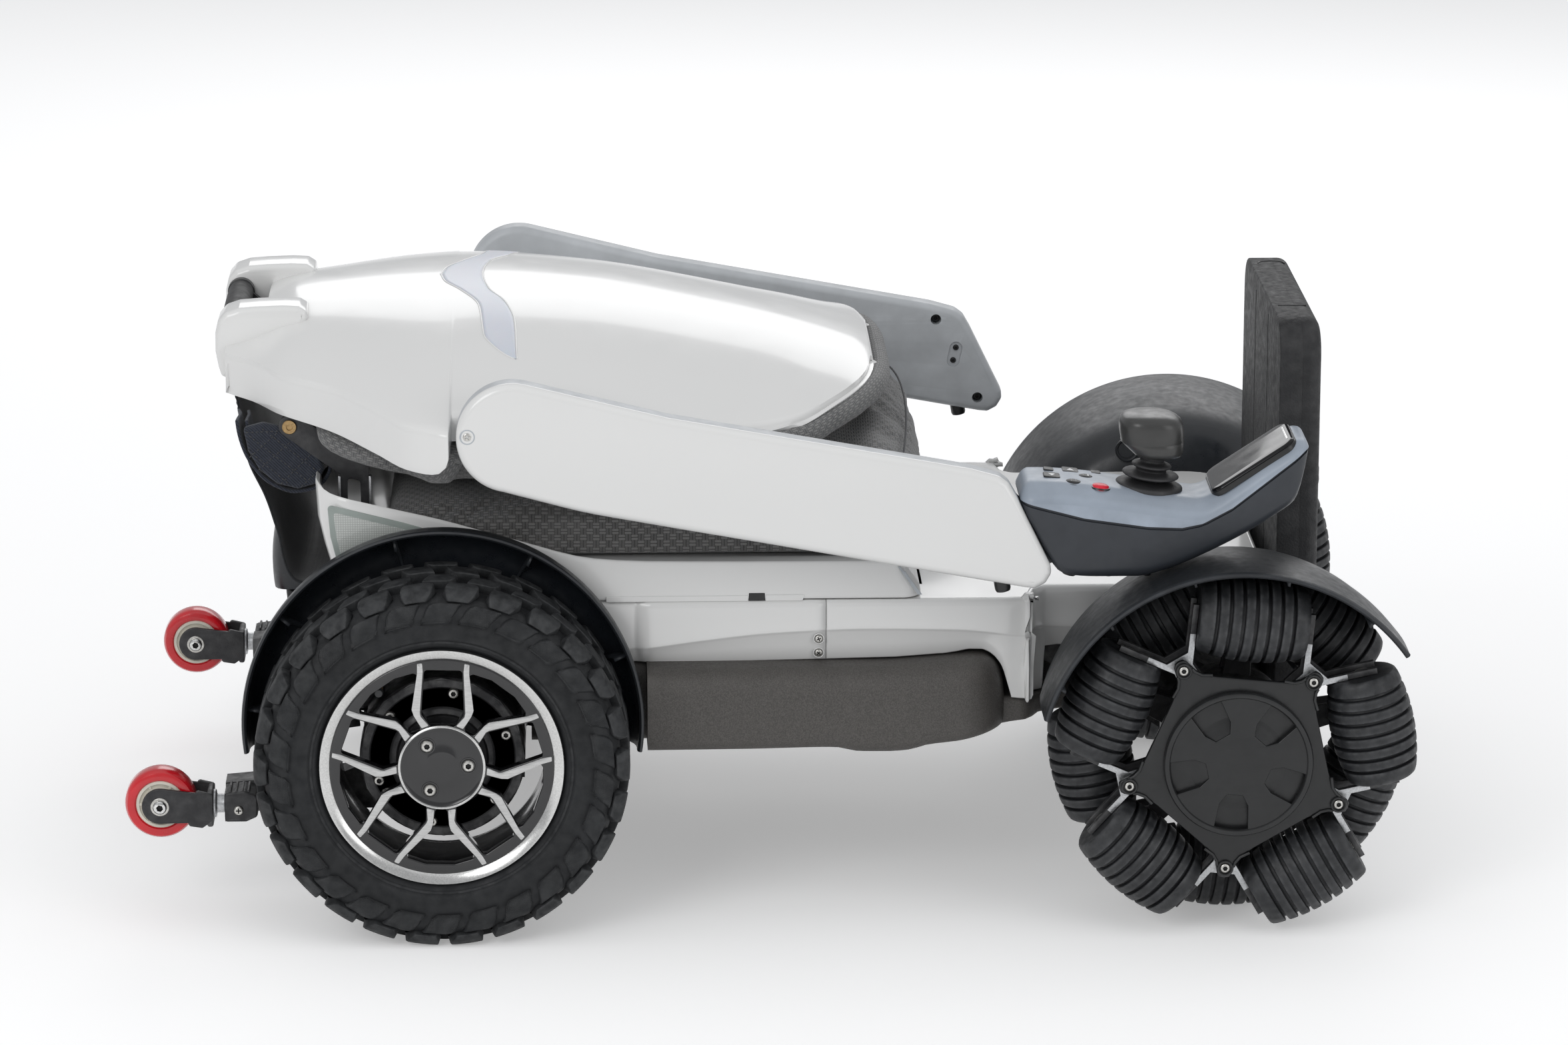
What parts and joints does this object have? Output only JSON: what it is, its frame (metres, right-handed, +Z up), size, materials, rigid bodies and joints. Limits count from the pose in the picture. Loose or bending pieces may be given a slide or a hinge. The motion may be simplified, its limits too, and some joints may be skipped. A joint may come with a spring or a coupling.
{
  "type": "folding power wheelchair",
  "caption": "Compact power wheelchair, folded: backrest shell over the seat, omnidirectional front wheels, air-tyred drive wheels, upright footplate and joystick.",
  "frame": {"origin": "on the floor, under the middle of the folded chair", "axes": "+X to the front, +Y to the occupant's left, +Z up"},
  "size_m": [0.8831, 0.571, 0.4088],
  "materials": {
    "belt_webbing": "woven webbing",
    "button_black": "matt",
    "button_red": "satin red",
    "case_slate": "fine-grained slate",
    "caster_red": "polished red",
    "fender_black": "fine-grained black moulding",
    "flap_fabric": "matt black flexible sheet",
    "footplate_black": "textured black",
    "frame_black": "satin black powder coat",
    "housing_grey": "textured dark grey moulding",
    "hub_black": "satin black",
    "knob_grey": "satin dark grey",
    "mesh_fabric": "grey spacer mesh",
    "rim_metal": "machined faces with black painted sides",
    "roller_rubber": "satin rubber",
    "top_blue_grey": "satin blue-grey",
    "tyre_rubber": "matt rubber",
    "white_gloss": "glossy moulded white"
  },
  "bodies": {
    "chassis": {"chassis_frame": "frame_black", "lower_housing": "housing_grey", "chassis_cover_front": "white_gloss", "chassis_cover_rear": "white_gloss", "rear_fender_right": "fender_black", "rear_fender_left": "fender_black", "front_fender_right": "fender_black", "front_fender_left": "fender_black"},
    "lift_rear": {"lift_frame_rear": "frame_black"},
    "lift_front": {"lift_frame_front": "frame_black"},
    "seat": {"seat_pan": "white_gloss", "seat_cushion": "mesh_fabric", "rear_flap": "flap_fabric", "seat_belt": "belt_webbing"},
    "backrest": {"back_shell": "white_gloss", "backrest_cushion": "mesh_fabric", "backrest_frame": "frame_black"},
    "arm_right": {"arm_right": "white_gloss", "controller_case": "case_slate", "controller_top": "top_blue_grey", "joystick_boot": "button_black"},
    "arm_left": {"arm_left": "white_gloss"},
    "joystick_tilt_fore": {"joystick_gimbal": "frame_black"},
    "joystick_tilt_side": {"joystick_knob": "knob_grey"},
    "button_square_rear": {"button_square_rear": "button_black"},
    "button_square_inner": {"button_square_inner": "button_black"},
    "button_round_outer": {"button_round_outer": "button_black"},
    "button_round_middle": {"button_round_middle": "button_black"},
    "button_red": {"button_red": "button_red"},
    "footplate": {"footplate": "footplate_black"},
    "drive_wheel_right": {"rear_tyre_right": "tyre_rubber", "rear_rim_right": "rim_metal"},
    "omni_wheel_right": {"omni_hub_right": "hub_black"},
    "caster_fork_right": {"caster_fork_right": "frame_black"},
    "caster_wheel_right": {"caster_wheel_right": "caster_red"},
    "drive_wheel_left": {"rear_tyre_left": "tyre_rubber", "rear_rim_left": "rim_metal"},
    "omni_wheel_left": {"omni_hub_left": "hub_black"},
    "caster_fork_left": {"caster_fork_left": "frame_black"},
    "caster_wheel_left": {"caster_wheel_left": "caster_red"},
    "roller_right_outer_1": {"roller_right_outer_1": "roller_rubber"},
    "roller_right_outer_2": {"roller_right_outer_2": "roller_rubber"},
    "roller_right_outer_3": {"roller_right_outer_3": "roller_rubber"},
    "roller_right_outer_4": {"roller_right_outer_4": "roller_rubber"},
    "roller_right_outer_5": {"roller_right_outer_5": "roller_rubber"},
    "roller_right_inner_1": {"roller_right_inner_1": "roller_rubber"},
    "roller_right_inner_2": {"roller_right_inner_2": "roller_rubber"},
    "roller_right_inner_3": {"roller_right_inner_3": "roller_rubber"},
    "roller_right_inner_4": {"roller_right_inner_4": "roller_rubber"},
    "roller_right_inner_5": {"roller_right_inner_5": "roller_rubber"},
    "roller_left_outer_1": {"roller_left_outer_1": "roller_rubber"},
    "roller_left_outer_2": {"roller_left_outer_2": "roller_rubber"},
    "roller_left_outer_3": {"roller_left_outer_3": "roller_rubber"},
    "roller_left_outer_4": {"roller_left_outer_4": "roller_rubber"},
    "roller_left_outer_5": {"roller_left_outer_5": "roller_rubber"},
    "roller_left_inner_1": {"roller_left_inner_1": "roller_rubber"},
    "roller_left_inner_2": {"roller_left_inner_2": "roller_rubber"},
    "roller_left_inner_3": {"roller_left_inner_3": "roller_rubber"},
    "roller_left_inner_4": {"roller_left_inner_4": "roller_rubber"},
    "roller_left_inner_5": {"roller_left_inner_5": "roller_rubber"}
  },
  "joints": [
    {"name": "backrest_fold", "type": "hinge", "parent": "seat", "child": "backrest", "pos_m": [-0.3268, 0, 0.335], "axis": [0, -1, 0], "range_deg": [0, 100], "deforming": ["rear_flap", "seat_belt"]},
    {"name": "lift_rear_swing", "type": "hinge", "parent": "chassis", "child": "lift_rear", "pos_m": [-0.1078, 0, 0.2225], "axis": [0, 1, 0], "range_deg": [0, 72]},
    {"name": "lift_front_swing", "type": "hinge", "parent": "chassis", "child": "lift_front", "pos_m": [0.0822, 0, 0.2225], "axis": [0, 1, 0], "range_deg": [0, 72]},
    {"name": "seat_level", "type": "hinge", "parent": "lift_rear", "child": "seat", "pos_m": [-0.2678, 0, 0.2225], "axis": [0, 1, 0], "range_deg": [-72, 0]},
    {"name": "arm_right_fold", "type": "hinge", "parent": "backrest", "child": "arm_right", "pos_m": [-0.1728, -0.2477, 0.3528], "axis": [0, -1, 0], "range_deg": [-88.7, 0]},
    {"name": "arm_left_fold", "type": "hinge", "parent": "backrest", "child": "arm_left", "pos_m": [-0.1728, 0.2477, 0.3528], "axis": [0, -1, 0], "range_deg": [-88.7, 0]},
    {"name": "footplate_fold", "type": "hinge", "parent": "chassis", "child": "footplate", "pos_m": [0.3772, 0, 0.112], "axis": [0, 1, 0], "range_deg": [0, 90]},
    {"name": "joystick_fore_aft", "type": "hinge", "parent": "arm_right", "child": "joystick_tilt_fore", "pos_m": [0.2527, -0.225, 0.30913], "axis": [0, 1, 0], "range_deg": [-18, 18], "stiffness_Nm_per_rad": 0.08, "deforming": ["joystick_boot"]},
    {"name": "joystick_side", "type": "hinge", "parent": "joystick_tilt_fore", "child": "joystick_tilt_side", "pos_m": [0.2527, -0.225, 0.30913], "axis": [1, 0, 0], "range_deg": [-18, 18], "stiffness_Nm_per_rad": 0.08, "deforming": ["joystick_boot"]},
    {"name": "button_square_rear_press", "type": "slide", "parent": "arm_right", "child": "button_square_rear", "axis": [-0.1158, 0, -0.9933], "range_m": [0, 0.0012], "stiffness_N_per_m": 700, "springref_m": -0.0005},
    {"name": "button_square_inner_press", "type": "slide", "parent": "arm_right", "child": "button_square_inner", "axis": [-0.1158, 0, -0.9933], "range_m": [0, 0.0012], "stiffness_N_per_m": 700, "springref_m": -0.0005},
    {"name": "button_round_outer_press", "type": "slide", "parent": "arm_right", "child": "button_round_outer", "axis": [-0.1158, 0, -0.9933], "range_m": [0, 0.0012], "stiffness_N_per_m": 700, "springref_m": -0.0005},
    {"name": "button_round_middle_press", "type": "slide", "parent": "arm_right", "child": "button_round_middle", "axis": [-0.1158, 0, -0.9933], "range_m": [0, 0.0012], "stiffness_N_per_m": 700, "springref_m": -0.0005},
    {"name": "button_red_press", "type": "slide", "parent": "arm_right", "child": "button_red", "axis": [-0.1158, 0, -0.9933], "range_m": [0, 0.0012], "stiffness_N_per_m": 700, "springref_m": -0.0005},
    {"name": "drive_wheel_right_spin", "type": "hinge", "parent": "chassis", "child": "drive_wheel_right", "pos_m": [-0.2228, -0.236, 0.1275], "axis": [0, 1, 0], "continuous": true},
    {"name": "drive_wheel_left_spin", "type": "hinge", "parent": "chassis", "child": "drive_wheel_left", "pos_m": [-0.2228, 0.236, 0.1275], "axis": [0, 1, 0], "continuous": true},
    {"name": "omni_wheel_right_spin", "type": "hinge", "parent": "chassis", "child": "omni_wheel_right", "pos_m": [0.3172, -0.22, 0.1245], "axis": [0, 1, 0], "continuous": true},
    {"name": "omni_wheel_left_spin", "type": "hinge", "parent": "chassis", "child": "omni_wheel_left", "pos_m": [0.3172, 0.22, 0.1245], "axis": [0, 1, 0], "continuous": true},
    {"name": "caster_fork_right_swivel", "type": "hinge", "parent": "chassis", "child": "caster_fork_right", "pos_m": [-0.3738, -0.2, 0.082], "axis": [1, 0, 0], "continuous": true},
    {"name": "caster_fork_left_swivel", "type": "hinge", "parent": "chassis", "child": "caster_fork_left", "pos_m": [-0.3738, 0.2, 0.082], "axis": [1, 0, 0], "continuous": true},
    {"name": "caster_wheel_right_spin", "type": "hinge", "parent": "caster_fork_right", "child": "caster_wheel_right", "pos_m": [-0.4175, -0.2, 0.0841], "axis": [0, 1, 0], "continuous": true},
    {"name": "caster_wheel_left_spin", "type": "hinge", "parent": "caster_fork_left", "child": "caster_wheel_left", "pos_m": [-0.4175, 0.2, 0.0841], "axis": [0, 1, 0], "continuous": true},
    {"name": "roller_right_outer_1_spin", "type": "hinge", "parent": "omni_wheel_right", "child": "roller_right_outer_1", "pos_m": [0.41051, -0.246, 0.14484], "axis": [-0.213, 0, 0.977], "continuous": true},
    {"name": "roller_right_outer_2_spin", "type": "hinge", "parent": "omni_wheel_right", "child": "roller_right_outer_2", "pos_m": [0.32669, -0.246, 0.21953], "axis": [-0.9951, 0, 0.0993], "continuous": true},
    {"name": "roller_right_outer_3_spin", "type": "hinge", "parent": "omni_wheel_right", "child": "roller_right_outer_3", "pos_m": [0.22975, -0.246, 0.16289], "axis": [-0.4019, 0, -0.9157], "continuous": true},
    {"name": "roller_right_outer_4_spin", "type": "hinge", "parent": "omni_wheel_right", "child": "roller_right_outer_4", "pos_m": [0.25367, -0.246, 0.0532], "axis": [0.7466, 0, -0.6652], "continuous": true},
    {"name": "roller_right_outer_5_spin", "type": "hinge", "parent": "omni_wheel_right", "child": "roller_right_outer_5", "pos_m": [0.36538, -0.246, 0.04205], "axis": [0.8634, 0, 0.5045], "continuous": true},
    {"name": "roller_right_inner_1_spin", "type": "hinge", "parent": "omni_wheel_right", "child": "roller_right_inner_1", "pos_m": [0.38073, -0.194, 0.1958], "axis": [-0.7466, 0, 0.6652], "continuous": true},
    {"name": "roller_right_inner_2_spin", "type": "hinge", "parent": "omni_wheel_right", "child": "roller_right_inner_2", "pos_m": [0.26902, -0.194, 0.20695], "axis": [-0.8634, 0, -0.5045], "continuous": true},
    {"name": "roller_right_inner_3_spin", "type": "hinge", "parent": "omni_wheel_right", "child": "roller_right_inner_3", "pos_m": [0.22389, -0.194, 0.10416], "axis": [0.213, 0, -0.977], "continuous": true},
    {"name": "roller_right_inner_4_spin", "type": "hinge", "parent": "omni_wheel_right", "child": "roller_right_inner_4", "pos_m": [0.30772, -0.194, 0.02947], "axis": [0.9951, 0, -0.0993], "continuous": true},
    {"name": "roller_right_inner_5_spin", "type": "hinge", "parent": "omni_wheel_right", "child": "roller_right_inner_5", "pos_m": [0.40465, -0.194, 0.08611], "axis": [0.4019, 0, 0.9157], "continuous": true},
    {"name": "roller_left_outer_1_spin", "type": "hinge", "parent": "omni_wheel_left", "child": "roller_left_outer_1", "pos_m": [0.41051, 0.246, 0.14484], "axis": [-0.213, 0, 0.977], "continuous": true},
    {"name": "roller_left_outer_2_spin", "type": "hinge", "parent": "omni_wheel_left", "child": "roller_left_outer_2", "pos_m": [0.32669, 0.246, 0.21953], "axis": [-0.9951, 0, 0.0993], "continuous": true},
    {"name": "roller_left_outer_3_spin", "type": "hinge", "parent": "omni_wheel_left", "child": "roller_left_outer_3", "pos_m": [0.22975, 0.246, 0.16289], "axis": [-0.4019, 0, -0.9157], "continuous": true},
    {"name": "roller_left_outer_4_spin", "type": "hinge", "parent": "omni_wheel_left", "child": "roller_left_outer_4", "pos_m": [0.25367, 0.246, 0.0532], "axis": [0.7466, 0, -0.6652], "continuous": true},
    {"name": "roller_left_outer_5_spin", "type": "hinge", "parent": "omni_wheel_left", "child": "roller_left_outer_5", "pos_m": [0.36538, 0.246, 0.04205], "axis": [0.8634, 0, 0.5045], "continuous": true},
    {"name": "roller_left_inner_1_spin", "type": "hinge", "parent": "omni_wheel_left", "child": "roller_left_inner_1", "pos_m": [0.38073, 0.194, 0.1958], "axis": [-0.7466, 0, 0.6652], "continuous": true},
    {"name": "roller_left_inner_2_spin", "type": "hinge", "parent": "omni_wheel_left", "child": "roller_left_inner_2", "pos_m": [0.26902, 0.194, 0.20695], "axis": [-0.8634, 0, -0.5045], "continuous": true},
    {"name": "roller_left_inner_3_spin", "type": "hinge", "parent": "omni_wheel_left", "child": "roller_left_inner_3", "pos_m": [0.22389, 0.194, 0.10416], "axis": [0.213, 0, -0.977], "continuous": true},
    {"name": "roller_left_inner_4_spin", "type": "hinge", "parent": "omni_wheel_left", "child": "roller_left_inner_4", "pos_m": [0.30772, 0.194, 0.02947], "axis": [0.9951, 0, -0.0993], "continuous": true},
    {"name": "roller_left_inner_5_spin", "type": "hinge", "parent": "omni_wheel_left", "child": "roller_left_inner_5", "pos_m": [0.40465, 0.194, 0.08611], "axis": [0.4019, 0, 0.9157], "continuous": true}
  ],
  "couplings": [
    {"joint": "lift_front_swing", "follows": "lift_rear_swing", "ratio": 1},
    {"joint": "seat_level", "follows": "lift_rear_swing", "ratio": -1},
    {"joint": "arm_right_fold", "follows": "backrest_fold", "ratio": -0.887},
    {"joint": "arm_left_fold", "follows": "backrest_fold", "ratio": -0.887}
  ]
}
